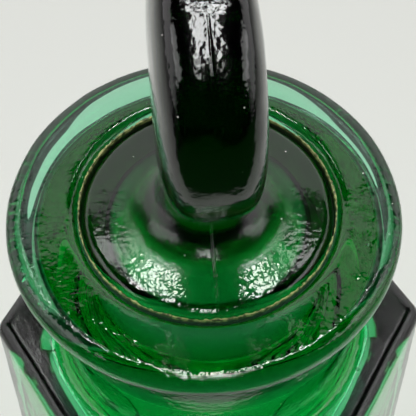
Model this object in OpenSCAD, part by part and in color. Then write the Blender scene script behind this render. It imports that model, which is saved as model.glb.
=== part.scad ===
// Six-sided glass bottle with a wide flanged mouth, a hollow conical stopper with a round
// handle, and a thin sealing sleeve between them. Millimetres, +Z up. The origin is the middle
// of the underside, and two of the body's six corners point along X.

/* [Body] */
// Width of the six-sided body across two opposite flats
body_flats = 69.5; // [68:0.5:76]
// Height of the body from the table to the flat shoulder
body_h = 122; // [90:1:160]
// Radius of the six upright outer corners
corner_r = 3.4; // [2.4:0.1:6]
// Radius of the rounded shoulder and heel edges
edge_r = 2.8; // [1.5:0.1:4]
// Thickness of the glass in the middle of a flat
wall_t = 4.4; // [3.4:0.1:6]
// Radius of the six upright inner corners and of the inner bottom edge
inner_r = 8; // [5:0.5:12]
// Thickness of the glass in the base, at the rim of the push-up
base_t = 9; // [7:0.5:14]
// Height of the shallow hollow pressed up into the underside
push_up_h = 2.5; // [1:0.1:4]
// Radius of the hollow in the underside
push_up_r = 24; // [18:0.5:26]
// Thickness of the glass under the shoulder, beside the neck
shoulder_t = 5; // [4:0.1:7]
// Fall of the inner shoulder from the neck to its outer end
shoulder_drop = 16; // [10:0.5:24]

/* [Neck and flange] */
// Height from the shoulder to the top of the flange
neck_h = 36; // [30:0.5:48]
// Outer radius of the neck
neck_r = 28.4; // [26.4:0.1:29]
// Radius of the hollow corner between the shoulder and the neck
neck_fillet_r = 2.4; // [1:0.1:4]
// Outer radius of the flange
flange_r = 33; // [32:0.1:36]
// Radius of the flange's rounded upper edge
flange_edge_r = 2.6; // [1.6:0.1:3.4]
// Radius of the flange's rounded underside, which runs from the rim to the neck
flange_under_r = 4.8; // [3.6:0.1:5.6]
// Radius of the hollow corner between the neck and the flange
flange_fillet_r = 1.9; // [1:0.1:2.2]
// Radius of the round edge between the neck's bore and the inner shoulder
throat_r = 3; // [1.5:0.1:5]

/* [Mouth and seal] */
// Radius of the ground mouth at the top of the flange
mouth_r = 21.65; // [20.85:0.1:22.45]
// Radius of the mouth's rounded upper edge
lip_r = 2.2; // [0.6:0.1:3]
// Length of the ground cone in the mouth
ground_l = 24; // [23:0.5:28]
// Fall of the cone's radius in one millimetre of depth
taper = 0.05; // [0.03:0.005:0.07]
// Thickness of the sealing sleeve
seal_t = 0.5; // [0.4:0.05:0.8]
// Length of the sealing sleeve
seal_l = 19.5; // [12:0.5:21]
// Depth of the sleeve's upper edge below the top of the flange
seal_depth = 0.1; // [0:0.05:0.6]
// Running gap on each side of the sealing sleeve
fit_gap = 0.05; // [0.02:0.01:0.09]

/* [Stopper] */
// Length of the plug below the top of the flange
plug_l = 22; // [20.5:0.5:30]
// Radius of the plug's rounded upper edge
plug_edge_r = 2; // [0.6:0.1:2.6]
// Thickness of the plug's wall at its open lower end
plug_wall_t = 2.6; // [2.2:0.1:4.4]
// Narrowing of the plug's hollow in one millimetre of height
hollow_draft = 0.03; // [0.01:0.005:0.05]
// Radius of the hollow's rounded upper edge
hollow_edge_r = 1.6; // [1:0.1:5]
// Height of the crown above the top of the flange, where the stem's flare starts
crown_h = 0.5; // [0.3:0.1:1.5]
// Slope of the crown in degrees, from there down to the plug's rounded edge
crown_slope = 6; // [2:1:12]
// Thickness of the glass between the crown and the plug's hollow
crown_t = 6.6; // [5:0.2:9]
// Radius of the stem at the top of its flare
stem_r = 6.5; // [6:0.1:8]
// Radius of the stem inside the handle
stem_top_r = 6; // [5:0.1:6.5]
// Radius of the hollow flare between the crown and the stem
stem_flare_r = 7.5; // [3:0.1:8]
// Diameter of the round handle
handle_d = 41; // [34:0.5:50]
// Thickness of the handle in its middle
handle_t = 16.4; // [13:0.1:20]
// Squareness of the handle's section, where 2 is an ellipse and more is squarer
handle_power = 3.8; // [2.4:0.1:6]
// Height of the handle's lowest point above the top of the flange
handle_lift = 11.9; // [9:0.1:18]
// Turn of the handle about the upright axis
handle_turn = 3; // [0:1:90]

/* [Hidden] */
$fn = 96;
// Angle between the points of a small arc
arc_step = 10;
// How far a cutter or a joined shape runs past the face that it meets
over = 1;
// How far the neck's fillet runs into the shoulder, so that the two cross cleanly
sink = 0.04;
// Number of points down the push-up's curve
cap_steps = 10;
// Facets of the rounded hexagonal blocks' corners
block_fn = 36;

flange_top = body_h + neck_h;
bore_r = mouth_r - taper * ground_l;
// Centre of the flange's rounded underside, and from it the centre of the hollow corner below
under_c = [flange_r - flange_under_r, flange_top - flange_edge_r];
corner_off = neck_r + flange_fillet_r - under_c[0];
corner_drop = sqrt(pow(flange_under_r + flange_fillet_r, 2) - pow(corner_off, 2));
corner_turn = atan2(corner_off, corner_drop);
heel_r = min(edge_r, corner_r);
dome_top = body_h - shoulder_t;
inner_flats = body_flats - 2 * wall_t;
dome_reach = inner_flats / 2 / cos(30) - bore_r - throat_r;
plug_end = flange_top - plug_l;
hollow_top = flange_top + crown_h - crown_t;
handle_r = handle_d / 2;
handle_z = flange_top + handle_lift + handle_r;

// Radius of the ground cone at a depth below the top of the flange, less an inset
function cone_r(depth, inset = 0) = mouth_r - taper * depth - inset;
// Insets of the sleeve's two faces and of the plug from the ground cone
sleeve_out = fit_gap;
sleeve_in = fit_gap + seal_t;
plug_in = 2 * fit_gap + seal_t;
hollow_r = cone_r(plug_l, plug_in) - plug_wall_t;

// Points of an arc about c = [r, z], from angle a to angle b
function arc(c, radius, a, b) =
    let (steps = max(1, round(abs(b - a) / arc_step)))
    [for (i = [0:steps]) let (t = a + (b - a) * i / steps) c + radius * [cos(t), sin(t)]];

// A list without its first item, for an arc that starts where the one before it ends
function past_first(list) = [for (i = [1:len(list) - 1]) list[i]];

// Upright post with rounded ends, one corner of a rounded hexagonal block
module post(height, radius, round_r)
    rotate_extrude($fn = block_fn)
        polygon(concat(
            [[0, 0]],
            arc([radius - round_r, round_r], round_r, -90, 0),
            arc([radius - round_r, height - round_r], round_r, 0, 90),
            [[0, height]]));

// Hexagonal block with rounded corners and edges, two corners on the X axis
module hex_block(flats, height, radius, round_r)
    hull()
        for (i = [0:5])
            rotate(60 * i)
                translate([(flats / 2 - radius) / cos(30), 0, 0])
                    post(height, radius, round_r);

// Neck and flange, a solid of revolution that starts inside the body
module neck_and_flange()
    rotate_extrude()
        polygon(concat(
            [[0, body_h - over], [neck_r + neck_fillet_r, body_h - over]],
            arc([neck_r + neck_fillet_r, body_h + neck_fillet_r - sink], neck_fillet_r, 270, 180),
            arc(under_c + [corner_off, -corner_drop], flange_fillet_r, 180, 90 + corner_turn),
            past_first(arc(under_c, flange_under_r, corner_turn - 90, 0)),
            past_first(arc([flange_r - flange_edge_r, flange_top - flange_edge_r], flange_edge_r, 0, 90)),
            [[0, flange_top]]));

// Bore of the neck: rounded throat, plain bore, ground cone and rounded lip
module neck_bore()
    rotate_extrude()
        polygon(concat(
            [[0, dome_top - over], [bore_r + throat_r, dome_top - over]],
            arc([bore_r + throat_r, dome_top + throat_r], throat_r, 270, 180),
            [[bore_r, flange_top - ground_l]],
            arc([cone_r(lip_r) + lip_r, flange_top - lip_r], lip_r, 180, 90),
            [[cone_r(lip_r) + lip_r, flange_top + over], [0, flange_top + over]]));

// Space under the shoulder, an arched ceiling that falls away from the neck
module shoulder_dome()
    rotate_extrude()
        polygon(concat(
            [[0, 0], [bore_r + throat_r + dome_reach, 0]],
            [for (t = [90:-arc_step:0])
                [bore_r + throat_r + dome_reach * sin(t), dome_top - shoulder_drop * (1 - cos(t))]],
            [[0, dome_top]]));

// Shallow hollow in the underside
module push_up()
    rotate_extrude()
        polygon(concat(
            [[0, -over], [push_up_r, -over]],
            [for (i = [0:cap_steps])
                let (share = 1 - i / cap_steps)
                [push_up_r * share, push_up_h * (1 - share * share)]]));

module bottle() {
    color([0.02, 0.45, 0.2])
    difference() {
        union() {
            hex_block(body_flats, body_h, corner_r, heel_r);
            neck_and_flange();
        }
        intersection() {
            translate([0, 0, base_t])
                hex_block(inner_flats, body_h, inner_r, inner_r);
            shoulder_dome();
        }
        neck_bore();
        push_up();
    }
}

// Thin conical sleeve between the ground mouth and the plug
module seal_sleeve() {
    top = seal_depth;
    end = seal_depth + seal_l;
    color([0.74, 0.66, 0.4])
    rotate_extrude()
        polygon([
            [cone_r(end, sleeve_in), flange_top - end],
            [cone_r(end, sleeve_out), flange_top - end],
            [cone_r(top, sleeve_out), flange_top - top],
            [cone_r(top, sleeve_in), flange_top - top]]);
}

// Hollow conical plug with a low sloping crown and the flared foot of the stem
module plug() {
    flare_c = [stem_r + stem_flare_r, flange_top + crown_h + stem_flare_r];
    crown_foot = flare_c - stem_flare_r * [sin(crown_slope), cos(crown_slope)];
    edge_reach = cone_r(0, plug_in) - plug_edge_r * (1 - sin(crown_slope)) - crown_foot[0];
    edge_depth = (flange_top - crown_foot[1] + plug_edge_r * cos(crown_slope) + edge_reach * tan(crown_slope))
        / (1 + taper * tan(crown_slope));
    edge_c = [cone_r(edge_depth, plug_in) - plug_edge_r, flange_top - edge_depth];
    difference() {
        rotate_extrude()
            polygon(concat(
                [[0, plug_end], [cone_r(plug_l, plug_in), plug_end]],
                arc(edge_c, plug_edge_r, 0, 90 - crown_slope),
                arc(flare_c, stem_flare_r, 270 - crown_slope, 180),
                [[stem_top_r, handle_z - handle_r + stem_top_r], [0, handle_z - handle_r + stem_top_r]]));
        rotate_extrude()
            polygon(concat(
                [[0, plug_end - over], [hollow_r + hollow_draft * over, plug_end - over]],
                arc([hollow_r - hollow_draft * (hollow_top - hollow_edge_r - plug_end) - hollow_edge_r,
                     hollow_top - hollow_edge_r], hollow_edge_r, 0, 90),
                [[0, hollow_top]]));
    }
}

// Thick round handle, a disc on edge with a rounded section
module handle()
    translate([0, 0, handle_z])
        rotate([0, 90, 0])
            rotate_extrude()
                polygon([for (t = [-90:arc_step / 2:90])
                    [handle_r * pow(max(cos(t), 0), 2 / handle_power),
                     handle_t / 2 * sign(t) * pow(abs(sin(t)), 2 / handle_power)]]);

module stopper() {
    color([0.03, 0.36, 0.16])
    rotate(handle_turn)
    union() {
        plug();
        handle();
    }
}

bottle();
seal_sleeve();
stopper();
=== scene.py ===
"""Looks of a stoppered six-sided glass bottle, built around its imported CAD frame.

Every glass surface here is one closed grid: a stack of rings, where a ring is a direction
round the upright axis turned into a radius and a height. Lengths are in metres, +Z is up.
"""

import bpy
import numpy as np
from bpy.props import FloatProperty, FloatVectorProperty, PointerProperty
from mathutils import Matrix, Vector


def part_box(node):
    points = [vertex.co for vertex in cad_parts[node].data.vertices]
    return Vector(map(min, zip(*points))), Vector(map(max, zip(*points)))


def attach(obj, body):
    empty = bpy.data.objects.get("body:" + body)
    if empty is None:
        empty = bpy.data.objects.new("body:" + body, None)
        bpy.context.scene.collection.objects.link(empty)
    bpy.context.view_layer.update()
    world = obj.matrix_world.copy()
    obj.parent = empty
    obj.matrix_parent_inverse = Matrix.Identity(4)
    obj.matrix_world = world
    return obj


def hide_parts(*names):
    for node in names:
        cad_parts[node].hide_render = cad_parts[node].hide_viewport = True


bl_info = {
    "name": "Stoppered glass bottle",
    "version": (1, 0, 0),
    "blender": (4, 5, 0),
    "location": "View3D > Sidebar > Glassware",
    "description": "Builds a six-sided glass bottle, its sealing sleeve, its stopper and a plain studio",
    "category": "Object",
}

MM = 0.001
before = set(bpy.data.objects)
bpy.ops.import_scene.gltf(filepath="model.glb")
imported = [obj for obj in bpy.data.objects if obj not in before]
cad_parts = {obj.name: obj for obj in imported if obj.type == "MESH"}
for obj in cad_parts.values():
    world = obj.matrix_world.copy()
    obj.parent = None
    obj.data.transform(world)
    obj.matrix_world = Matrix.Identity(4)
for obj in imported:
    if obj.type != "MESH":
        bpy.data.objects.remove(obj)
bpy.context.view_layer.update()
BOTTLE_LOW, BOTTLE_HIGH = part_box("bottle")
STOPPER_LOW, STOPPER_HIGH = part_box("stopper")
SEAL_LOW, SEAL_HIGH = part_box("seal_sleeve")


# ---------------------------------------------------------------- sizes a user would change

def length(label, text, metres, low=0.0):
    """A length property in metres."""
    return FloatProperty(name=label, description=text, default=metres, min=low, unit="LENGTH", precision=5)


class BottleSizes(bpy.types.PropertyGroup):
    """Sizes of the bottle"""
    flats: length("Across flats", "Width of the body across two opposite flats",
                  BOTTLE_HIGH.y - BOTTLE_LOW.y)
    height: length("Height", "Height of the top of the flange", BOTTLE_HIGH.z)
    neck_height: length("Neck height", "Height from the shoulder to the top of the flange", 36 * MM)
    corner: length("Corner radius", "Radius of the upright outer corners", 3.4 * MM)
    edge: length("Edge radius", "Radius of the shoulder and heel edges", 2.8 * MM)
    wall: length("Wall", "Thickness of the glass in the middle of a flat", 4.4 * MM)
    inner_corner: length("Inner corner radius", "Radius of the inner corners and bottom edge", 8 * MM)
    base: length("Base", "Thickness of the glass in the base", 9 * MM)
    push_up_height: length("Push-up height", "Height of the hollow in the underside", 2.5 * MM)
    push_up_radius: length("Push-up radius", "Radius of the hollow in the underside", 24 * MM)
    shoulder: length("Shoulder", "Thickness of the glass under the shoulder, beside the neck", 5 * MM)
    shoulder_drop: length("Shoulder drop", "Fall of the inner shoulder to its outer end", 16 * MM)
    neck: length("Neck radius", "Outer radius of the neck under the flange", 28.4 * MM)
    neck_foot: length("Neck foot radius", "Outer radius of the neck at its foot", 27.0 * MM)
    neck_fillet: length("Neck fillet", "Radius of the hollow corner at the foot of the neck", 2.4 * MM)
    flange: length("Flange radius", "Outer radius of the flange", 33 * MM)
    flange_edge: length("Flange edge", "Radius of the flange's rounded upper edge", 2.6 * MM)
    flange_under: length("Flange underside", "Radius of the flange's rounded underside", 4.8 * MM)
    flange_fillet: length("Flange fillet", "Radius of the hollow corner under the flange", 1.9 * MM)
    throat: length("Throat radius", "Radius of the edge between the bore and the inner shoulder", 3 * MM)
    mouth: length("Mouth radius", "Radius of the ground mouth at the top of the flange", 21.65 * MM)
    lip: length("Lip radius", "Radius of the mouth's rounded upper edge", 2.2 * MM)
    ground: length("Ground length", "Length of the ground cone in the mouth", 24 * MM)
    taper: FloatProperty(name="Taper", description="Fall of the cone's radius per unit of depth",
                         default=0.05, min=0.0)
    off_centre: length("Off centre", "How far the flange's rim stands to one side of the mouth", 0.6 * MM)


class SealSizes(bpy.types.PropertyGroup):
    """Sizes of the sealing sleeve"""
    gap: length("Gap", "Clearance on each side of the sleeve", 0.05 * MM)
    thick: length("Thickness", "Thickness of the sleeve", 0.5 * MM)
    depth: length("Depth", "Depth of the sleeve's upper edge below the top of the flange",
                  BOTTLE_HIGH.z - SEAL_HIGH.z)
    long: length("Length", "Length of the sleeve", SEAL_HIGH.z - SEAL_LOW.z)
    ragged: length("Ragged edge", "How far the worn upper edge wanders", 0.3 * MM)


class StopperSizes(bpy.types.PropertyGroup):
    """Sizes of the stopper"""
    plug: length("Plug length", "Length of the plug below the top of the flange",
                 BOTTLE_HIGH.z - STOPPER_LOW.z)
    plug_edge: length("Plug edge", "Radius of the plug's rounded upper edge", 2 * MM)
    plug_wall: length("Plug wall", "Thickness of the plug's wall at its open end", 2.6 * MM)
    draft: FloatProperty(name="Draft", description="Narrowing of the plug's hollow per unit of height",
                         default=0.03, min=0.0)
    hollow_edge: length("Hollow edge", "Radius of the hollow's rounded upper edge", 1.6 * MM)
    crown: length("Crown height", "Height of the crown above the flange, where the flare starts", 0.5 * MM)
    crown_slope: FloatProperty(name="Crown slope", description="Slope of the crown down to the plug's edge",
                               default=np.radians(6), unit="ROTATION")
    crown_thick: length("Crown thickness", "Thickness between the crown and the hollow", 6.6 * MM)
    stem: length("Stem radius", "Radius of the stem at the top of its flare", 6.5 * MM)
    stem_top: length("Stem top radius", "Radius of the stem inside the handle", 6 * MM)
    flare: length("Flare", "Radius of the hollow flare between crown and stem", 7.5 * MM)
    handle: length("Handle diameter", "Diameter of the round handle", 41 * MM)
    handle_thick: length("Handle thickness", "Thickness of the handle in its middle", 16.4 * MM)
    power: FloatProperty(name="Squareness", description="Power of the handle's section, 2 for an ellipse",
                         default=3.8, min=2.0)
    turn: FloatProperty(name="Turn", description="Turn of the handle about the upright axis",
                        default=np.radians(3), unit="ROTATION")
    seam: length("Seam height", "Height of the mould seam round the handle", 0.16 * MM)


def colour(label, text, code):
    """A colour property given as an sRGB hex code and kept in linear light."""
    return FloatVectorProperty(name=label, description=text, subtype="COLOR", size=4, default=linear(code))


def linear(code):
    """Linear RGBA of an sRGB hex code: v/12.92 below 0.04045, else ((v + 0.055) / 1.055) to the 2.4."""
    parts = [int(code[i:i + 2], 16) / 255 for i in (1, 3, 5)]
    return tuple(v / 12.92 if v <= 0.04045 else ((v + 0.055) / 1.055) ** 2.4 for v in parts) + (1.0,)


class GlassLooks(bpy.types.PropertyGroup):
    """Colours and finish of the glass and the sleeve"""
    tint: colour("Tint", "Colour that the glass lets through", "#9FEDCE")
    density: FloatProperty(name="Density", description="Absorption of the bottle's glass per metre",
                           default=220.0, min=0.0)
    stopper_density: FloatProperty(name="Stopper density",
                                   description="Absorption of the stopper's glass per metre",
                                   default=580.0, min=0.0)
    # Painted shade: a darker tint on the light through the neck, the body and the inner walls, for the
    # shadowed floor seen through them
    shade_tint: colour("Body flash", "Colour that the deeper skin of the neck and body lets through", "#86EFC2")
    # Painted shade: a darker tint on the light through the handle, the stem's foot and the crown's front and
    # back
    stopper_shade_tint: colour("Stopper flash", "Colour that the deeper skin of the stopper lets through",
                          "#2F8257")
    dust: colour("Dust", "Colour of the flecks of dust", "#DADAD4")
    film: colour("Film", "Colour of the sleeve where it is clean", "#A0A567")
    grime: colour("Grime", "Colour of the dirt in the sleeve's worn upper edge", "#3A461C")
    # Painted shade: the sleeve is dark below its worn edge, down in the gap between plug and mouth
    groove_shade: colour("Oiled film", "Colour of the sleeve below its worn edge", "#14200F")


class StudioLooks(bpy.types.PropertyGroup):
    """The floor, the surroundings and the lamps"""
    floor: colour("Floor", "Colour of the floor", "#E5E7E1")
    wall: colour("Wall", "Colour of the pale surroundings", "#F3F0F2")
    dark: colour("Dark side", "Colour of the surroundings on the camera's side", "#07060A")


# ---------------------------------------------------------------- finish of the glass, part by part

# Depth of the wrinkles that the cold mould leaves, as a share of WRINKLE_DEPTH. Those of the rim, the lip
# and the foot come on top of the bottle's, and crown_by_seam on top of the crown's
CHILL = {"bottle": 0.15, "rim": 1.8, "lip": 0.6, "foot": 0.9, "inside": 0.1,
         "hollow": 0.3, "crown": 0.55, "crown_by_seam": 0.65, "stem": 0.4, "handle": 1.0}
# Frosting, from 0 for clear to 1 for ground glass. Shoulder and crown_sides come on top of the rest, and
# foot is the share of it that the shoulder loses beside the neck
FROST = {"cone": 1.0, "body": 0.2, "shoulder": 0.1, "foot": 0.6,
         "hollow": 0.4, "flare": 0.3, "crown_sides": 0.15, "handle": 0.16}
# Strength of the painted shade in the glass: a darker tint on the light that passes through it
SHADE_TINT = {"body": 0.25, "handle": 0.78, "crown_by_seam": 0.8}

# Where wrinkles gather: a bell's distance outwards from the edge that it belongs to, and its width
RIM_BELL = (-1.4 * MM, 1.6 * MM)
LIP_BELL = (1.2 * MM, 1.2 * MM)
FOOT_BELL = (1.5 * MM, 2.0 * MM)

# Heights over which a finish comes in, and pairs of radii: where it begins and where it is complete
FROST_BELOW_SHOULDER = 30 * MM
# The next two place painted shade in the glass: it comes in up the handle, and round the stem's foot
SHADE_UP_HANDLE = 10 * MM
STEM_FOOT_SHADE = (14 * MM, 10 * MM)
BY_SEAM = (9 * MM, 12 * MM)

# Slow waves of the pressed surface: their depth, and their long and short wavelengths
WAVES_OUTSIDE = 0.10 * MM
WAVES_INSIDE = 0.22 * MM
BOTTLE_WAVES = (16 * MM, 7 * MM)
STOPPER_DEPTH = 0.12 * MM
STOPPER_WAVES = (12 * MM, 5 * MM)
CALM_MIDDLE = 6 * MM


# ---------------------------------------------------------------- grids

TAU = 2 * np.pi
HEX_DIRECTIONS = 50
HEX_WARP = 0.4


def ramp(value, start, end):
    """Share of the way from start to end, held between 0 and 1."""
    return np.clip((value - start) / (end - start), 0, 1)


def bell(value, edge, shape):
    """Bell of height one beside an edge: exp of minus the squared distance from its middle in widths."""
    offset, width = shape
    return np.exp(-((value - edge - offset) / width) ** 2)


def hex_directions():
    """Directions round a hexagon: in each sixth, 30 degrees times (w t + (1 - w) t cubed), so that
    they crowd at the corners, which stand at 0, 60, 120 ... degrees."""
    t = np.linspace(-1, 1, HEX_DIRECTIONS, endpoint=False)
    sixth = np.radians(30) * (HEX_WARP * t + (1 - HEX_WARP) * t ** 3)
    return (sixth + np.radians(60) * np.arange(6)[:, None]).ravel()


def hexagon(theta, inradius, corner):
    """Radius of a rounded hexagon in direction theta: the corner's circle within its own angle,
    and inradius / cos(theta - 30 degrees) along the flat. A corner as large as the inradius is a circle."""
    off = np.abs((theta + np.radians(30)) % np.radians(60) - np.radians(30))
    centre = (inradius - corner) / np.cos(np.radians(30))
    tangent = np.arctan2(corner * 0.5, centre + corner * np.cos(np.radians(30)))
    on_arc = centre * np.cos(off) + np.sqrt(np.maximum(corner ** 2 - (centre * np.sin(off)) ** 2, 0))
    on_flat = inradius / np.cos(np.radians(30) - off)
    return np.where(off <= tangent, on_arc, on_flat)


def arc(centre, radius, start, end, count):
    """Points [radius from the axis, height] on a circle about centre, from start to end in degrees."""
    t = np.radians(np.linspace(start, end, count))
    return np.stack([centre[0] + radius * np.cos(t), centre[1] + radius * np.sin(t)], -1)


def straight(start, end, count):
    """Evenly spaced points from start to end, both included."""
    return np.array(start) + (np.array(end) - np.array(start)) * np.linspace(0, 1, count)[:, None]


def waves(points, seed, wavelength, count=14):
    """Smooth random field: the mean of sines of k . p + phase, with k in random directions and
    lengths about 2 pi / wavelength, scaled to a spread of about one."""
    rng = np.random.default_rng(seed)
    k = rng.normal(size=(count, 3))
    k *= (TAU / wavelength) * rng.uniform(0.6, 1.4, (count, 1)) / np.linalg.norm(k, axis=1, keepdims=True)
    phase = rng.uniform(0, TAU, count)
    return np.sin(points @ k.T + phase).sum(-1) * np.sqrt(2 / count)


def swell(points, seed, wavelengths):
    """Depth of slow waves, from 0 to 1.2: 0.5, a quarter of the long waves and 0.12 of the short ones."""
    long, short = wavelengths
    depth = 0.5 + 0.25 * waves(points, seed, long) + 0.12 * waves(points, seed + 1, short)
    return np.clip(depth, 0, 1.2)


def grid_normals(grid):
    """Unit normals of a grid of rings: the cross product of the step round a ring and the step to the
    next ring. They point out of a profile that runs anticlockwise, axis on its left."""
    round_step = np.roll(grid, -1, 1) - np.roll(grid, 1, 1)
    next_step = np.gradient(grid, axis=0)
    normal = np.cross(round_step, next_step)
    size = np.linalg.norm(normal, axis=-1, keepdims=True)
    return normal / np.maximum(size, 1e-15)


def smooth_piece(name, points, faces):
    """Smoothly shaded object at the origin with these points and faces."""
    mesh = bpy.data.meshes.new(name)
    mesh.from_pydata(points, [], faces)
    mesh.polygons.foreach_set("use_smooth", np.ones(len(mesh.polygons), bool))
    mesh.update()
    piece = bpy.data.objects.new(name, mesh)
    bpy.context.scene.collection.objects.link(piece)
    return piece


def solid_from_rings(name, grid, finish):
    """Closed piece of a grid of rings whose first and last rings are single points on the axis. Each
    finish, one value or one row of values a ring, becomes the attribute of its name."""
    rings, around = grid.shape[:2]
    points = np.vstack([grid[0, :1], grid[1:-1].reshape(-1, 3), grid[-1, :1]])
    ring = np.arange(around)
    after = (ring + 1) % around
    row = (1 + np.arange(rings - 3) * around)[:, None]
    above = row + around
    quads = np.stack([row + ring, row + after, above + after, above + ring], -1).reshape(-1, 4)
    last = 1 + (rings - 3) * around
    first_fan = np.stack([np.zeros_like(ring), 1 + after, 1 + ring], -1)
    last_fan = np.stack([np.full_like(ring, len(points) - 1), last + ring, last + after], -1)
    piece = smooth_piece(name, points, quads.tolist() + first_fan.tolist() + last_fan.tolist())
    for key, value in finish.items():
        table = np.broadcast_to(value.reshape(rings, -1), (rings, around)).astype(np.float32)
        values = np.concatenate([table[0, :1], table[1:-1].ravel(), table[-1, :1]])
        piece.data.attributes.new(key, "FLOAT", "POINT").data.foreach_set("value", values)
    return piece


def tube_from_rings(name, grid):
    """Closed piece of rings whose last ring joins the first."""
    rings, around = grid.shape[:2]
    ring = np.arange(around)
    after = (ring + 1) % around
    row = (np.arange(rings) * around)[:, None]
    above = (row + around) % (rings * around)
    quads = np.stack([row + ring, row + after, above + after, above + ring], -1).reshape(-1, 4)
    return smooth_piece(name, grid.reshape(-1, 3), quads.tolist())


def stack(sections):
    """Joins sections of profile rows and drops a row that repeats the one before it."""
    rows = np.vstack(sections)
    step = np.abs(np.diff(rows, axis=0)).sum(1)
    return rows[np.concatenate([[True], step > 1e-7])]


def rounds(points):
    """Rows of round rings [inradius, corner, height, limit] from points [radius, height]."""
    r, z = points[:, 0], points[:, 1]
    return np.stack([r, r, z, np.full_like(r, 1.0)], -1)


# ---------------------------------------------------------------- bottle

def bottle_rows(s):
    """Rows [inradius, corner radius, height, limiting radius] from the middle of the underside, up the
    outside, over the flange and down the inside to the middle of the floor."""
    half = s.flats / 2
    shoulder_z = s.height - s.neck_height
    under = np.array([s.flange - s.flange_under, s.height - s.flange_edge])
    corner_off = s.neck + s.flange_fillet - under[0]
    corner_drop = np.sqrt((s.flange_under + s.flange_fillet) ** 2 - corner_off ** 2)
    corner = under + (corner_off, -corner_drop)
    turn = np.degrees(np.arctan2(corner_off, corner_drop))
    bore = s.mouth - s.taper * s.ground
    dome_z = shoulder_z - s.shoulder
    inner_half = half - s.wall
    reach = inner_half / np.cos(np.radians(30)) - bore - s.throat

    def parallel(inradius, corner, inset, z):
        """Rows of the hexagon's parallel curves, inset by the given amounts."""
        inset, z = np.broadcast_arrays(np.asarray(inset, float), np.asarray(z, float))
        return np.stack([inradius - inset, np.maximum(corner - inset, 0), z, np.ones_like(z)], -1)

    def morph(a, b, count):
        """Rows that turn the ring of row a into the ring of row b."""
        return a + (b - a) * np.linspace(0, 1, count)[:, None]

    r = np.linspace(0, s.push_up_radius, 14)
    hollow = rounds(np.stack([r, s.push_up_height * (1 - (r / s.push_up_radius) ** 2)], -1))
    t = np.radians(np.linspace(0, 90, 9))
    heel = parallel(half, s.corner, s.edge * (1 - np.sin(t)), s.edge * (1 - np.cos(t)))
    wall = parallel(half, s.corner, 0, np.linspace(s.edge, shoulder_z - s.edge, 46))
    brim = parallel(half, s.corner, s.edge * (1 - np.cos(t)), shoulder_z - s.edge * (1 - np.sin(t)))
    foot = rounds(arc((s.neck_foot + s.neck_fillet, shoulder_z + s.neck_fillet), s.neck_fillet, 270, 180, 9))
    neck = rounds(straight((s.neck_foot, shoulder_z + s.neck_fillet), (s.neck, corner[1]), 14))
    below = rounds(arc(corner, s.flange_fillet, 180, 90 + turn, 9))
    underside = rounds(arc(under, s.flange_under, turn - 90, 0, 24))
    rim = rounds(arc((s.flange - s.flange_edge, s.height - s.flange_edge), s.flange_edge, 0, 90, 14))
    lip_r = s.mouth - s.taper * s.lip + s.lip
    top = rounds(straight((s.flange - s.flange_edge, s.height), (lip_r, s.height), 12))
    lip = rounds(arc((lip_r, s.height - s.lip), s.lip, 90, 180, 9))
    cone = rounds(straight((s.mouth - s.taper * s.lip, s.height - s.lip), (bore, s.height - s.ground), 16))
    tube = rounds(straight((bore, s.height - s.ground), (bore, dome_z + s.throat), 10))
    throat = rounds(arc((bore + s.throat, dome_z + s.throat), s.throat, 180, 270, 9))
    u = np.radians(np.linspace(0, 90, 22))
    dome = parallel(inner_half, s.inner_corner, 0, dome_z - s.shoulder_drop * (1 - np.cos(u)))
    dome[:, 3] = bore + s.throat + reach * np.sin(u)
    low = s.base + s.inner_corner
    inside = parallel(inner_half, s.inner_corner, 0, np.linspace(dome_z - s.shoulder_drop, low, 34)[1:])
    toe = parallel(inner_half, s.inner_corner, s.inner_corner * (1 - np.cos(t)),
                   low - s.inner_corner * np.sin(t))
    floor = morph(toe[-1], np.array([0, 0, s.base, 1.0]), 14)
    sections = [hollow, morph(hollow[-1], heel[0], 6), heel, wall, brim, morph(brim[-1], foot[0], 9),
                foot, neck, below, underside, rim, top, lip, cone, tube, throat, dome, inside, toe, floor]
    return stack(sections)


def smallest(a, b, power=22.0):
    """The smaller of two radii with a soft bend where they meet: the minus-power mean."""
    low = np.minimum(a, b)
    return low * ((low / a) ** power + (low / b) ** power) ** (-1 / power)


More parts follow.
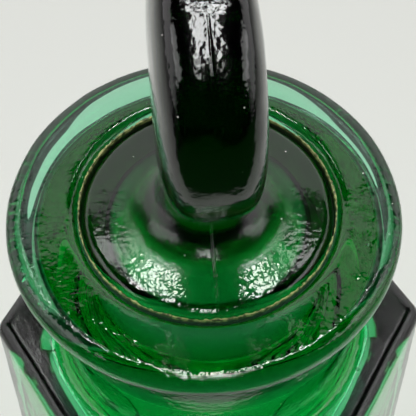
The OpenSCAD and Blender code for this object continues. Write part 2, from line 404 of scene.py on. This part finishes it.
def bottle_grid(s):
    """Rings of the bottle: the rounded hexagon of each row, held within its limiting radius, then pushed
    in by slow waves, but not on the ground cone. The flange's rim is moved to one side by off_centre
    times the share of the way from the lip to the rim. Also the glass's finish, ring by ring, with the
    painted shade of a darker tint in the neck, the body and the inner walls."""
    theta = hex_directions()
    rows = bottle_rows(s)
    inradius, corner, z, limit = (rows[:, i, None] for i in range(4))
    radius = hexagon(theta[None], inradius, corner)
    radius = np.where(limit < 0.5, smallest(np.maximum(radius, 1e-9), limit), radius)
    grid = np.stack([radius * np.cos(theta), radius * np.sin(theta), z + 0 * radius], -1)

    wide, z = rows[:, 0], rows[:, 2]
    shoulder_z = s.height - s.neck_height
    under_rim = s.height - s.flange_edge - s.flange_under
    lip_end = s.mouth + s.lip
    on_cone = (wide <= s.mouth) & (z > s.height - s.ground - MM)
    inside = np.arange(len(rows)) > np.flatnonzero(on_cone)[0]
    on_flange = (z > under_rim) & (wide > s.neck) & ~inside
    over_lip = (z > s.height - s.lip) & ~inside
    on_body = (z < shoulder_z + 0.1 * MM) & ~inside
    out = np.where(over_lip, ramp(wide, lip_end, s.flange), ramp(wide, s.neck, s.flange) * on_flange)
    grid[..., 0] -= (s.off_centre * out)[:, None]
    depth = np.where(inside, WAVES_INSIDE, WAVES_OUTSIDE) * ~on_cone * ramp(wide, 0, CALM_MIDDLE)
    push = depth[:, None] * swell(grid, 11, BOTTLE_WAVES)
    grid = grid - grid_normals(grid) * push[..., None]

    rim = bell(wide, s.flange, RIM_BELL) * on_flange
    lip = bell(wide, s.mouth, LIP_BELL) * over_lip
    foot = bell(wide, s.neck_foot, FOOT_BELL) * ~inside * ~on_flange
    chill = CHILL["bottle"] + CHILL["rim"] * rim + CHILL["lip"] * lip + CHILL["foot"] * foot
    chill[inside] = CHILL["inside"]
    near_top = ramp(z, shoulder_z - FROST_BELOW_SHOULDER, shoulder_z)
    body_frost = (FROST["body"] + FROST["shoulder"] * near_top) * (1 - FROST["foot"] * foot)
    ground = np.where(on_cone, FROST["cone"], np.where(on_body, body_frost, 0))
    # Painted shade: the neck, the body and the inner walls darken the light through them
    deep = np.where(on_body, SHADE_TINT["body"], ramp(z, under_rim, under_rim - s.neck_height / 2))
    return grid, {"ground": ground, "chill": chill, "deep": deep}


# ---------------------------------------------------------------- sleeve

WORN = 1.8 * MM
GRAIN = 0.9 * MM
DRIFT = 5 * MM
# Depths under the sleeve's top between which its painted shade, down in the gap, fades out going up
GROOVE_SHADE_FROM = 0.9 * MM
UNSHADED_FROM = 0.5 * MM


def seal_grid(s, bottle):
    """Rings of the sleeve: a closed strip between two cones. Over the first WORN of its depth it is worn by
    waves of the lengths GRAIN and DRIFT: its edge is lowered by up to ragged, and its two faces are drawn
    in towards its middle by up to 0.8 of their distance times the root of the wear."""
    theta = np.linspace(0, TAU, 480, endpoint=False)

    def cone(depth, inset):
        return bottle.mouth - bottle.taper * depth - inset

    outer, inner = s.gap, s.gap + s.thick
    down = s.depth + s.long * np.linspace(0, 1, 40) ** 2
    outside = np.stack([cone(down, outer), bottle.height - down], -1)[::-1]
    inside = np.stack([cone(down, inner), bottle.height - down], -1)
    profile = np.vstack([outside, inside])
    grid = np.stack([profile[:, 0, None] * np.cos(theta), profile[:, 0, None] * np.sin(theta),
                     profile[:, 1, None] + 0 * theta], -1)
    depth = bottle.height - s.depth - profile[:, 1]
    worn = ramp(depth, WORN, 0)[:, None]
    grain = waves(grid, 21, GRAIN)
    drift = waves(grid, 22, DRIFT)
    grid[..., 2] -= s.ragged * worn * np.clip(0.5 + 0.3 * grain + 0.25 * drift, 0, 1)
    middle = cone(depth + s.depth, (outer + inner) / 2)[:, None]
    thin = 1 - worn ** 0.5 * np.clip(0.50 + 0.14 * grain + 0.16 * drift, 0, 0.8)
    radius = np.hypot(grid[..., 0], grid[..., 1])
    factor = (middle + (radius - middle) * thin) / radius
    grid[..., :2] *= factor[..., None]
    return grid


# ---------------------------------------------------------------- stopper

def disc_radius(theta, height, r, half, power):
    """Distance from the upright axis to the handle's face in direction theta at a height above its
    middle: the root of (hypot(y, height) / r)^power + (x / half)^power = 1, found by bisection."""
    low = np.zeros(np.broadcast(theta, height).shape)
    high = low + 1.5 * r
    for _ in range(44):
        mid = (low + high) / 2
        inside = ((np.hypot(mid * np.sin(theta), height) / r) ** power
                  + (np.abs(mid * np.cos(theta)) / half) ** power) < 1
        low = np.where(inside, mid, low)
        high = np.where(inside, high, mid)
    return (low + high) / 2


def stopper_directions():
    """Directions round the stopper: in each half, 90 degrees times (t / 4 + 3/4 of t to the power 2.2) to
    either side of its middle, so that they crowd at 90 and 270 degrees, where the mould seam runs."""
    t = np.linspace(-1, 1, 150, endpoint=False)
    half = np.pi / 2 * (0.25 * t + 0.75 * np.sign(t) * np.abs(t) ** 2.2)
    return np.concatenate([half + np.pi / 2, half + 3 * np.pi / 2])


END_RIM = 0.5 * MM


def stopper_profile(s, bottle, seal):
    """Profile [radius, height] of the stopper below its handle, from the top of the hollow, down and round
    the open end, up the ground plug, round its edge, up the sloping crown and the stem's flare. Also the
    number of the last row of the ground plug."""
    inset = 2 * seal.gap + seal.thick

    def cone(depth):
        return bottle.mouth - bottle.taper * depth - inset

    top = bottle.height
    end = top - s.plug
    hollow_r = cone(s.plug) - s.plug_wall
    hollow_z = top + s.crown - s.crown_thick
    hollow_top_r = hollow_r - s.draft * (hollow_z - s.hollow_edge - end)
    slope = s.crown_slope
    flare = (s.stem + s.flare, top + s.crown + s.flare)
    foot = (flare[0] - s.flare * np.sin(slope), flare[1] - s.flare * np.cos(slope))
    reach = cone(0) - s.plug_edge * (1 - np.sin(slope)) - foot[0]
    fall = top - foot[1] + s.plug_edge * np.cos(slope) + reach * np.tan(slope)
    depth = fall / (1 + bottle.taper * np.tan(slope))
    edge = (cone(depth) - s.plug_edge, top - depth)
    rim = END_RIM
    round_edge = arc(edge, s.plug_edge, 0, 90 - np.degrees(slope), 14)
    plug = [
        straight((0, hollow_z), (hollow_top_r - s.hollow_edge, hollow_z), 12),
        arc((hollow_top_r - s.hollow_edge, hollow_z - s.hollow_edge), s.hollow_edge, 90, 0, 12),
        straight((hollow_top_r, hollow_z - s.hollow_edge), (hollow_r, end + rim), 16),
        arc((hollow_r + rim, end + rim), rim, 180, 270, 7),
        arc((cone(s.plug) - rim, end + rim), rim, 270, 360, 7),
        straight((cone(s.plug), end + rim), (cone(depth), edge[1]), 22),
    ]
    crown = [
        round_edge,
        straight(round_edge[-1], foot, 12),
        arc(flare, s.flare, 270 - np.degrees(slope), 180, 26),
    ]
    plug = stack(plug)
    return stack([plug, *crown]), len(plug)


HANDLE_RINGS = 160
# Rings from the top of the hollow down to the rim of the plug's open end
HOLLOW_RINGS = 40
STEM_INTO_HANDLE = 0.02 * MM
STEM_END = 0.75
STEM_NARROWING = 0.12
BLEND_POWER = 9.0
CROWN_REACH = 4 * MM
SEAM_WIDTH = 0.18 * MM
SEAM_END = 0.2 * MM
SEAM_WAVES = 9 * MM
SEAM_ON_HANDLE = 0.35
SEAM_ON_CROWN = 1.6


def stopper_grid(s, bottle, seal):
    """Rings of the stopper: its profile, then rings up the handle to its highest point, where the radius
    is the ninth-power mean of the handle's disc and of the stem, which narrows and dies out inside it. A
    mould seam stands proud along both ends of the handle and down the crown, the seam's height times exp
    of minus the squared distance from its plane in widths, and slow waves push the glass in, but not on
    the ground plug. Also the glass's finish, which changes towards the seam, and its painted shade: a
    darker tint up the handle, in the hollow corner round the stem's foot, and on the crown's front and
    back, in line with the seam."""
    theta = stopper_directions()
    profile, ground_rows = stopper_profile(s, bottle, seal)
    r = s.handle / 2
    high = STOPPER_HIGH.z - s.seam
    middle = high - r
    join = middle - r + STEM_INTO_HANDLE
    flare_top = profile[-1, 1]
    plug_top_r = profile[ground_rows - 1, 0]
    narrow = (s.stem - s.stem_top) / (middle - r + s.stem_top - flare_top)
    at_join = s.stem - narrow * (join - flare_top)
    profile = stack([profile, straight((s.stem, flare_top), (at_join, join), 10)])
    lift = middle - r * np.cos(np.linspace(0, np.pi, HANDLE_RINGS))
    lift = lift[lift > join]
    fade = ramp(lift, join, join + STEM_END * r)
    stem = at_join * (1 - STEM_NARROWING * fade) * np.sqrt(1 - fade ** 2) + 1e-6
    disc = disc_radius(theta[None], (lift - middle)[:, None], r, s.handle_thick / 2, s.power)
    big = np.maximum(disc, stem[:, None])
    shares = (disc / big) ** BLEND_POWER + (stem[:, None] / big) ** BLEND_POWER
    radius = np.vstack([np.repeat(profile[:, :1], len(theta), 1), big * shares ** (1 / BLEND_POWER)])
    z = np.concatenate([profile[:, 1], lift])
    turned = theta + s.turn
    grid = np.stack([radius * np.cos(turned), radius * np.sin(turned), z[:, None] + 0 * radius], -1)
    grid[[0, -1], :, :2] = 0

    row = np.arange(len(z))
    wide = radius[:, 0]
    in_hollow = row < HOLLOW_RINGS
    on_plug = (row < ground_rows) & ~in_hollow
    outside = row >= ground_rows
    on_crown = outside & (z < bottle.height + CROWN_REACH)
    on_handle = z > join
    on_flare = outside & ~on_handle & (wide < s.stem + s.flare)
    away = np.abs(radius * np.cos(theta))
    seam = s.seam * np.exp(-(away / SEAM_WIDTH) ** 2) * outside[:, None] * (radius > SEAM_END)
    seam *= np.clip(0.75 + 0.35 * waves(grid, 33, SEAM_WAVES), 0.2, 1)
    from_edge = ramp(wide, plug_top_r, plug_top_r - s.plug_edge)
    seam *= np.where(on_handle, SEAM_ON_HANDLE, 1 + (SEAM_ON_CROWN - 1) * from_edge)[:, None]
    offset = seam - (STOPPER_DEPTH * ~on_plug)[:, None] * swell(grid, 31, STOPPER_WAVES)
    offset[[0, -1]] = 0
    grid = grid + grid_normals(grid) * offset[..., None]

    by_seam = (ramp(wide, *BY_SEAM) * on_crown)[:, None] * np.sin(theta) ** 4
    chill = np.select([in_hollow, on_crown, on_handle],
                      [CHILL["hollow"], CHILL["crown"], CHILL["handle"]], CHILL["stem"])
    chill = chill[:, None] + CHILL["crown_by_seam"] * by_seam
    # Painted shade: a darker tint up the handle, round the stem's foot and on the crown's front and back
    flare_end = bottle.height + s.crown + s.flare
    handle_shade = SHADE_TINT["handle"] * ramp(z, flare_end, flare_end + SHADE_UP_HANDLE)
    stem_foot_shade = ramp(wide, *STEM_FOOT_SHADE) * (z < flare_end - 0.6 * s.flare) * ~in_hollow
    deep = np.maximum(np.maximum(handle_shade, stem_foot_shade)[:, None], SHADE_TINT["crown_by_seam"] * by_seam)
    ground = np.select([in_hollow, on_handle, on_flare, on_plug],
                       [FROST["hollow"], FROST["handle"], FROST["flare"], FROST["cone"]], 0.0)
    sideways = (on_crown & ~on_flare)[:, None] * np.cos(theta) ** 2
    ground = ground[:, None] + FROST["crown_sides"] * sideways
    return grid, {"ground": ground, "chill": chill, "deep": deep}


# ---------------------------------------------------------------- materials

def add(tree, kind, inputs=None, **settings):
    """Adds a shader node and sets its attributes or inputs by name. The dictionary fills inputs by name or
    number: a socket is linked, anything else is set as the value."""
    node = tree.nodes.new(kind)
    for key, value in settings.items():
        if hasattr(node, key):
            setattr(node, key, value)
        else:
            node.inputs[key.replace("_", " ")].default_value = value
    for key, value in (inputs or {}).items():
        if isinstance(value, bpy.types.NodeSocket):
            tree.links.new(value, node.inputs[key])
        else:
            node.inputs[key].default_value = value
    return node


def new_material(name):
    """Empty node material with its output."""
    material = bpy.data.materials.new(name)
    material.use_nodes = True
    material.node_tree.nodes.clear()
    return material, material.node_tree, material.node_tree.nodes.new("ShaderNodeOutputMaterial")


def spots(tree, place, spacing, strength):
    """Round spots, one in each cell of a random pattern of this spacing: full strength within 0.03 of the
    spacing and none beyond 0.06 of it. Also a random colour for each cell."""
    cells = add(tree, "ShaderNodeTexVoronoi", {"Vector": place}, Scale=1 / spacing, Randomness=1.0)
    inside = add(tree, "ShaderNodeMapRange", {"Value": cells.outputs["Distance"]},
                 From_Min=0.03, From_Max=0.06, To_Min=strength, To_Max=0.0)
    return inside.outputs["Result"], cells.outputs["Color"]


WHITE = linear("#FFFFFF")
GLASS_INDEX = 1.52
WRINKLE_SIZE = 1.1 * MM
WRINKLE_DEPTH = 0.08 * MM
SEED_SPACING = 7 * MM
SEED_DEPTH = 0.3 * MM
FLECK_SPACING = 3 * MM
FLECK_COVER = 0.8
CLEAR_ROUGHNESS = 0.03
GROUND_ROUGHNESS = 0.5


def pressed_glass(name, looks, shade_tint, density):
    """Soda-lime glass coloured emerald in the pot and pressed in an iron mould. The cold iron leaves fine
    wrinkles, about 1 mm apart, that break a highlight into sparkles, as deep as the attribute chill says.
    Seeds, small bubbles near the surface, stand about 7 mm apart. The attribute ground says how frosted the
    surface is, wholly so on the ground cone, and the attribute deep how far the light through the glass
    takes the darker tint given, which is painted shade. Flecks of dust, about 0.2 mm across, lie on every
    second cell of 3 mm."""
    material, tree, out = new_material(name)
    place = add(tree, "ShaderNodeTexCoord").outputs["Object"]
    chill = add(tree, "ShaderNodeAttribute", attribute_name="chill").outputs["Fac"]
    ground = add(tree, "ShaderNodeAttribute", attribute_name="ground").outputs["Fac"]
    deep = add(tree, "ShaderNodeAttribute", attribute_name="deep").outputs["Fac"]
    wrinkle = add(tree, "ShaderNodeTexNoise", {"Vector": place},
                  Scale=1 / WRINKLE_SIZE, Detail=1.5, Roughness=0.5)
    skin = add(tree, "ShaderNodeBump", {"Height": wrinkle.outputs["Fac"], "Strength": chill},
               Distance=WRINKLE_DEPTH)
    seed, _ = spots(tree, place, SEED_SPACING, 1.0)
    pits = add(tree, "ShaderNodeBump", {"Height": seed, "Normal": skin.outputs["Normal"]},
               Strength=0.7, Distance=SEED_DEPTH)
    seeds = add(tree, "ShaderNodeBump", {"Height": seed}, Strength=0.7, Distance=SEED_DEPTH)
    rough = add(tree, "ShaderNodeMapRange", {"Value": ground},
                To_Min=CLEAR_ROUGHNESS, To_Max=GROUND_ROUGHNESS).outputs["Result"]
    gloss = add(tree, "ShaderNodeBsdfGlossy", {"Normal": pits.outputs["Normal"], "Roughness": rough},
                Color=WHITE)
    # Painted shade: the light through the glass takes the darker tint where the attribute deep says
    shade_tone = add(tree, "ShaderNodeMix", {"Factor": deep, 6: WHITE, 7: tuple(shade_tint)}, data_type="RGBA")
    clear = add(tree, "ShaderNodeBsdfRefraction",
                {"Color": shade_tone.outputs[2], "Normal": seeds.outputs["Normal"], "Roughness": rough},
                IOR=GLASS_INDEX)
    share = add(tree, "ShaderNodeFresnel", IOR=GLASS_INDEX)
    clean = add(tree, "ShaderNodeMixShader",
                {"Fac": share.outputs["Fac"], 1: clear.outputs[0], 2: gloss.outputs[0]})
    fleck, chance = spots(tree, place, FLECK_SPACING, FLECK_COVER)
    chosen = add(tree, "ShaderNodeMath", {0: chance, 1: 0.5}, operation="GREATER_THAN")
    dusty = add(tree, "ShaderNodeMath", {0: fleck, 1: chosen.outputs[0]}, operation="MULTIPLY")
    dust = add(tree, "ShaderNodeBsdfDiffuse", Color=tuple(looks.dust))
    shader = add(tree, "ShaderNodeMixShader",
                 {"Fac": dusty.outputs[0], 1: clean.outputs[0], 2: dust.outputs[0]})
    volume = add(tree, "ShaderNodeVolumeAbsorption", Color=tuple(looks.tint), Density=density)
    tree.links.new(shader.outputs["Shader"], out.inputs["Surface"])
    tree.links.new(volume.outputs["Volume"], out.inputs["Volume"])
    return material


def worn_film(name, looks, top):
    """Thin yellowed polyethylene film, mottled with dirt in grains about 0.5 mm across. Below its worn
    edge at height top it is painted dark, as painted shade down in the gap between the plug and the mouth."""
    material, tree, out = new_material(name)
    place = add(tree, "ShaderNodeTexCoord").outputs["Object"]
    height = add(tree, "ShaderNodeSeparateXYZ", {"Vector": place}).outputs["Z"]
    grain = add(tree, "ShaderNodeTexNoise", {"Vector": place}, Scale=1 / GRAIN, Detail=3.0, Roughness=0.6)
    mottle = add(tree, "ShaderNodeValToRGB", {"Fac": grain.outputs["Fac"]})
    dirty, clean = mottle.color_ramp.elements
    dirty.position = 0.42
    dirty.color = tuple(looks.grime)
    clean.position = 0.58
    clean.color = tuple(looks.film)
    # Painted shade: the sleeve darkens below its top, down in the gap between plug and mouth
    edge = add(tree, "ShaderNodeMapRange", {"Value": height}, From_Min=top - GROOVE_SHADE_FROM,
               From_Max=top - UNSHADED_FROM)
    tone = add(tree, "ShaderNodeMix", {"Factor": edge.outputs["Result"], 6: tuple(looks.groove_shade),
                                       7: mottle.outputs["Color"]}, data_type="RGBA")
    bump = add(tree, "ShaderNodeBump", {"Height": grain.outputs["Fac"]}, Strength=0.8, Distance=0.2 * MM)
    shader = add(tree, "ShaderNodeBsdfPrincipled",
                 {"Base Color": tone.outputs[2], "Normal": bump.outputs["Normal"]}, Roughness=0.45)
    tree.links.new(shader.outputs["BSDF"], out.inputs["Surface"])
    return material


def seen_straight(tree):
    """1 for rays from the camera and for rays that come through glass, 0 for reflections and light."""
    rays = add(tree, "ShaderNodeLightPath").outputs
    seen = add(tree, "ShaderNodeMath", {0: rays["Is Camera Ray"], 1: rays["Is Transmission Ray"]},
               operation="MAXIMUM")
    return seen.outputs[0]


SHADE_FULL = -0.17
SHADE_END = -0.15


def floor_finish(looks):
    """Matt white board. Reflections show it dark nearer the camera than 0.16 m before the object, as in the
    shade of whoever stands there, and it is pale everywhere to the camera and through the glass."""
    material, tree, out = new_material("matt_board")
    place = add(tree, "ShaderNodeTexCoord").outputs["Object"]
    y = add(tree, "ShaderNodeSeparateXYZ", {"Vector": place}).outputs["Y"]
    lit = add(tree, "ShaderNodeMapRange", {"Value": y}, From_Min=SHADE_FULL, From_Max=SHADE_END)
    pale = add(tree, "ShaderNodeMath", {0: lit.outputs["Result"], 1: seen_straight(tree)},
               operation="MAXIMUM")
    tone = add(tree, "ShaderNodeMix", {"Factor": pale.outputs[0], 6: tuple(looks.dark),
                                       7: tuple(looks.floor)}, data_type="RGBA")
    grain = add(tree, "ShaderNodeTexNoise", {"Vector": place}, Scale=1 / (4 * MM), Detail=4.0)
    bump = add(tree, "ShaderNodeBump", {"Height": grain.outputs["Fac"]}, Strength=0.15, Distance=0.1 * MM)
    shader = add(tree, "ShaderNodeBsdfPrincipled",
                 {"Base Color": tone.outputs[2], "Normal": bump.outputs["Normal"]}, Roughness=0.8)
    tree.links.new(shader.outputs["BSDF"], out.inputs["Surface"])
    return material


# Sines of the wall's height above the horizon in reflections, at its sides and straight behind
WALL_AT_SIDES = 0.5
WALL_BEHIND = 0.838
WALL_BLUR = 0.012
WALL_STRENGTH = 1.3
# How far behind the object the wall rises from one height to the other, and fades out towards the camera
RISE_START = 0.6
RISE_END = 0.98
FADE_START = -0.15
FADE_END = -0.45


def studio_world(looks):
    """Surroundings by direction. In reflections the pale wall reaches 57 degrees high behind the object and
    30 degrees at its sides, and the rest is dark, so that glass gets its dark edges. The camera sees the
    wall everywhere, both directly and through the glass. How far a direction points behind the object is
    the cosine of its angle on the ground from straight behind: y over the root of 1 - z squared."""
    world = bpy.data.worlds.new("studio")
    world.use_nodes = True
    tree = world.node_tree
    tree.nodes.clear()
    way = add(tree, "ShaderNodeTexCoord").outputs["Generated"]
    _, y, z = add(tree, "ShaderNodeSeparateXYZ", {"Vector": way}).outputs[:3]
    squared = add(tree, "ShaderNodeMath", {0: z, 1: z}, operation="MULTIPLY").outputs[0]
    remainder = add(tree, "ShaderNodeMath", {0: 1.0, 1: squared}, operation="SUBTRACT").outputs[0]
    root = add(tree, "ShaderNodeMath", {0: remainder}, operation="SQRT").outputs[0]
    flat = add(tree, "ShaderNodeMath", {0: root, 1: 0.001}, operation="MAXIMUM").outputs[0]
    behind = add(tree, "ShaderNodeMath", {0: y, 1: flat}, operation="DIVIDE").outputs[0]
    height = add(tree, "ShaderNodeMapRange", {"Value": behind}, From_Min=RISE_START, From_Max=RISE_END,
                 To_Min=WALL_AT_SIDES, To_Max=WALL_BEHIND).outputs["Result"]
    below = add(tree, "ShaderNodeMath", {0: height, 1: z}, operation="SUBTRACT").outputs[0]
    under_edge = add(tree, "ShaderNodeMapRange", {"Value": below}, From_Min=-WALL_BLUR, From_Max=WALL_BLUR)
    not_front = add(tree, "ShaderNodeMapRange", {"Value": behind}, From_Min=FADE_END, From_Max=FADE_START)
    wall = add(tree, "ShaderNodeMath",
               {0: under_edge.outputs["Result"], 1: not_front.outputs["Result"]}, operation="MULTIPLY")
    seen = add(tree, "ShaderNodeMath", {0: wall.outputs[0], 1: seen_straight(tree)}, operation="MAXIMUM")
    dark = add(tree, "ShaderNodeBackground", Color=tuple(looks.dark))
    pale = add(tree, "ShaderNodeBackground", Color=tuple(looks.wall), Strength=WALL_STRENGTH)
    room = add(tree, "ShaderNodeMixShader",
               {"Fac": seen.outputs[0], 1: dark.outputs[0], 2: pale.outputs[0]})
    add(tree, "ShaderNodeOutputWorld", {"Surface": room.outputs[0]})
    return world


# ---------------------------------------------------------------- operators

class GLASSWARE_OT_bottle(bpy.types.Operator):
    """Make the bottle's glass"""
    bl_idname = "glassware.bottle"
    bl_label = "Bottle"

    def execute(self, context):
        scene = context.scene
        looks = scene.glass_looks
        grid, finish = bottle_grid(scene.bottle_sizes)
        piece = solid_from_rings("bottle_glass", grid, finish)
        glass = pressed_glass("emerald_pressed_glass", looks, looks.shade_tint, looks.density)
        piece.data.materials.append(glass)
        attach(piece, "bottle")
        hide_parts("bottle")
        return {"FINISHED"}


class GLASSWARE_OT_seal(bpy.types.Operator):
    """Make the sealing sleeve"""
    bl_idname = "glassware.seal"
    bl_label = "Sealing sleeve"

    def execute(self, context):
        scene = context.scene
        grid = seal_grid(scene.seal_sizes, scene.bottle_sizes)
        piece = tube_from_rings("seal_film", grid)
        piece.data.materials.append(worn_film("yellowed_film", scene.glass_looks, SEAL_HIGH.z))
        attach(piece, "seal")
        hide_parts("seal_sleeve")
        return {"FINISHED"}


class GLASSWARE_OT_stopper(bpy.types.Operator):
    """Make the stopper's glass"""
    bl_idname = "glassware.stopper"
    bl_label = "Stopper"

    def execute(self, context):
        scene = context.scene
        looks = scene.glass_looks
        grid, finish = stopper_grid(scene.stopper_sizes, scene.bottle_sizes, scene.seal_sizes)
        piece = solid_from_rings("stopper_glass", grid, finish)
        glass = pressed_glass("emerald_stopper_glass", looks, looks.stopper_shade_tint, looks.stopper_density)
        piece.data.materials.append(glass)
        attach(piece, "stopper")
        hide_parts("stopper")
        return {"FINISHED"}


# Each lamp's place in metres from the mouth, its size and its radiance, where 1 looks white
LAMPS = (
    ("top_strip", (0, -0.065, 0.80), (0.11, 0.59), 16),
    ("front_strip", (-0.03, -0.46, 0.80), (0.15, 0.20), 5.5),
    ("right_pane", (0.095, 0.285, 0.80), (0.13, 0.09), 20),
    ("left_pane", (-0.115, 0.285, 0.80), (0.07, 0.09), 20),
    ("left_bar", (-0.04, 0.290, 0.80), (0.08, 0.03), 20),
    ("left_back_box", (-0.24, 0.40, 0.80), (0.14, 0.13), 5),
    ("right_back_box", (0.26, 0.38, 0.80), (0.10, 0.11), 5),
    ("veil_box", (0.145, 0.46, 0.80), (0.09, 0.08), 0.9),
    ("left_box", (-0.62, -0.10, 0.48), (0.28, 0.60), 2.1),
    ("right_box", (0.68, -0.10, 0.46), (0.28, 0.60), 2.1),
)


def soft_box(name, place, drop, wide, deep, radiance):
    """Rectangular area lamp at place, turned sideways to face the upright axis, its power pi times
    radiance times area."""
    lamp = bpy.data.lights.new(name, "AREA")
    lamp.shape = "RECTANGLE"
    lamp.size, lamp.size_y = wide, deep
    lamp.energy = np.pi * radiance * wide * deep
    holder = bpy.data.objects.new(name, lamp)
    holder.location = place
    holder.rotation_euler.y = np.arctan2(place.x, drop)
    bpy.context.scene.collection.objects.link(holder)
    return holder


FLOOR_REACH = 3.0
GLASS_BOUNCES = 24
CLEAR_BOUNCES = 16


class GLASSWARE_OT_stage(bpy.types.Operator):
    """Make the floor, the surroundings, the lamps and the camera"""
    bl_idname = "glassware.stage"
    bl_label = "Studio"

    def execute(self, context):
        scene = context.scene
        looks = scene.studio_looks
        bottle = scene.bottle_sizes
        side = FLOOR_REACH
        corners = [(-side, -side, 0), (side, -side, 0), (side, side, 0), (-side, side, 0)]
        mesh = bpy.data.meshes.new("floor")
        mesh.from_pydata(corners, [], [(0, 1, 2, 3)])
        floor = bpy.data.objects.new("floor", mesh)
        scene.collection.objects.link(floor)
        mesh.materials.append(floor_finish(looks))

        scene.world = studio_world(looks)
        mouth = Vector((0, 0, bottle.height))
        for name, (x, y, z), (wide, deep), radiance in LAMPS:
            soft_box(name, mouth + Vector((x, y, z)), z, wide, deep, radiance)

        aim_camera(scene, bottle)
        scene.view_settings.view_transform = "Standard"
        scene.cycles.max_bounces = GLASS_BOUNCES
        scene.cycles.transmission_bounces = GLASS_BOUNCES
        scene.cycles.transparent_max_bounces = CLEAR_BOUNCES
        return {"FINISHED"}


FRAME_PIXELS = 416
FOCAL_PIXELS = 1350
FLANGE_PIXEL = (207.3, 212.5)
CAMERA_ELEVATION = 55.8
CAMERA_AZIMUTH = 1.5
CAMERA_ROLL = -0.7
CAMERA_DISTANCE = 6.8
SENSOR = 36
EDGE_BELOW_TOP = 1.75 * MM


def aim_camera(scene, bottle):
    """Camera at its distance, in flange radii, from the middle of the flange's edge, turned so that this
    middle falls on FLANGE_PIXEL."""
    middle = Vector((0, 0, bottle.height - EDGE_BELOW_TOP))
    elevation, azimuth = np.radians(CAMERA_ELEVATION), np.radians(CAMERA_AZIMUTH)
    away = CAMERA_DISTANCE * bottle.flange
    level = Vector((-np.sin(azimuth), -np.cos(azimuth), 0))
    place = middle + (level * np.cos(elevation) + Vector((0, 0, np.sin(elevation)))) * away
    forward = (middle - place).normalized()
    right = forward.cross(Vector((0, 0, 1))).normalized()
    up = right.cross(forward)
    centre = FRAME_PIXELS / 2
    target = (middle + right * (centre - FLANGE_PIXEL[0]) / FOCAL_PIXELS * away
              - up * (centre - FLANGE_PIXEL[1]) / FOCAL_PIXELS * away)
    forward = (target - place).normalized()
    right = forward.cross(Vector((0, 0, 1))).normalized()
    up = right.cross(forward)
    turn = Matrix((right, up, -forward)).transposed() @ Matrix.Rotation(np.radians(CAMERA_ROLL), 3, "Z")
    lens = bpy.data.cameras.new("camera")
    lens.sensor_width = SENSOR
    lens.lens = SENSOR * FOCAL_PIXELS / FRAME_PIXELS
    lens.clip_start = 0.01
    holder = bpy.data.objects.new("camera", lens)
    holder.matrix_world = Matrix.Translation(place) @ turn.to_4x4()
    scene.collection.objects.link(holder)
    scene.camera = holder


class GLASSWARE_PT_panel(bpy.types.Panel):
    """Sizes, colours and operators of the bottle"""
    bl_label = "Stoppered bottle"
    bl_idname = "GLASSWARE_PT_panel"
    bl_space_type = "VIEW_3D"
    bl_region_type = "UI"
    bl_category = "Glassware"

    def draw(self, context):
        for group in GROUPS:
            settings = getattr(context.scene, group)
            box = self.layout.box()
            box.label(text=settings.bl_rna.description)
            for key in settings.__annotations__:
                box.prop(settings, key)
        for operator in OPERATORS:
            self.layout.operator(operator.bl_idname)


GROUPS = {"bottle_sizes": BottleSizes, "seal_sizes": SealSizes, "stopper_sizes": StopperSizes,
          "glass_looks": GlassLooks, "studio_looks": StudioLooks}
OPERATORS = (GLASSWARE_OT_bottle, GLASSWARE_OT_seal, GLASSWARE_OT_stopper, GLASSWARE_OT_stage)


def register():
    for cls in (*GROUPS.values(), *OPERATORS, GLASSWARE_PT_panel):
        bpy.utils.register_class(cls)
    for name, cls in GROUPS.items():
        setattr(bpy.types.Scene, name, PointerProperty(type=cls))


def unregister():
    for name in GROUPS:
        delattr(bpy.types.Scene, name)
    for cls in (GLASSWARE_PT_panel, *reversed(OPERATORS), *reversed(list(GROUPS.values()))):
        bpy.utils.unregister_class(cls)


def main():
    register()
    bpy.ops.glassware.bottle()
    bpy.ops.glassware.seal()
    bpy.ops.glassware.stopper()
    bpy.ops.glassware.stage()


if __name__ == "__main__":
    main()
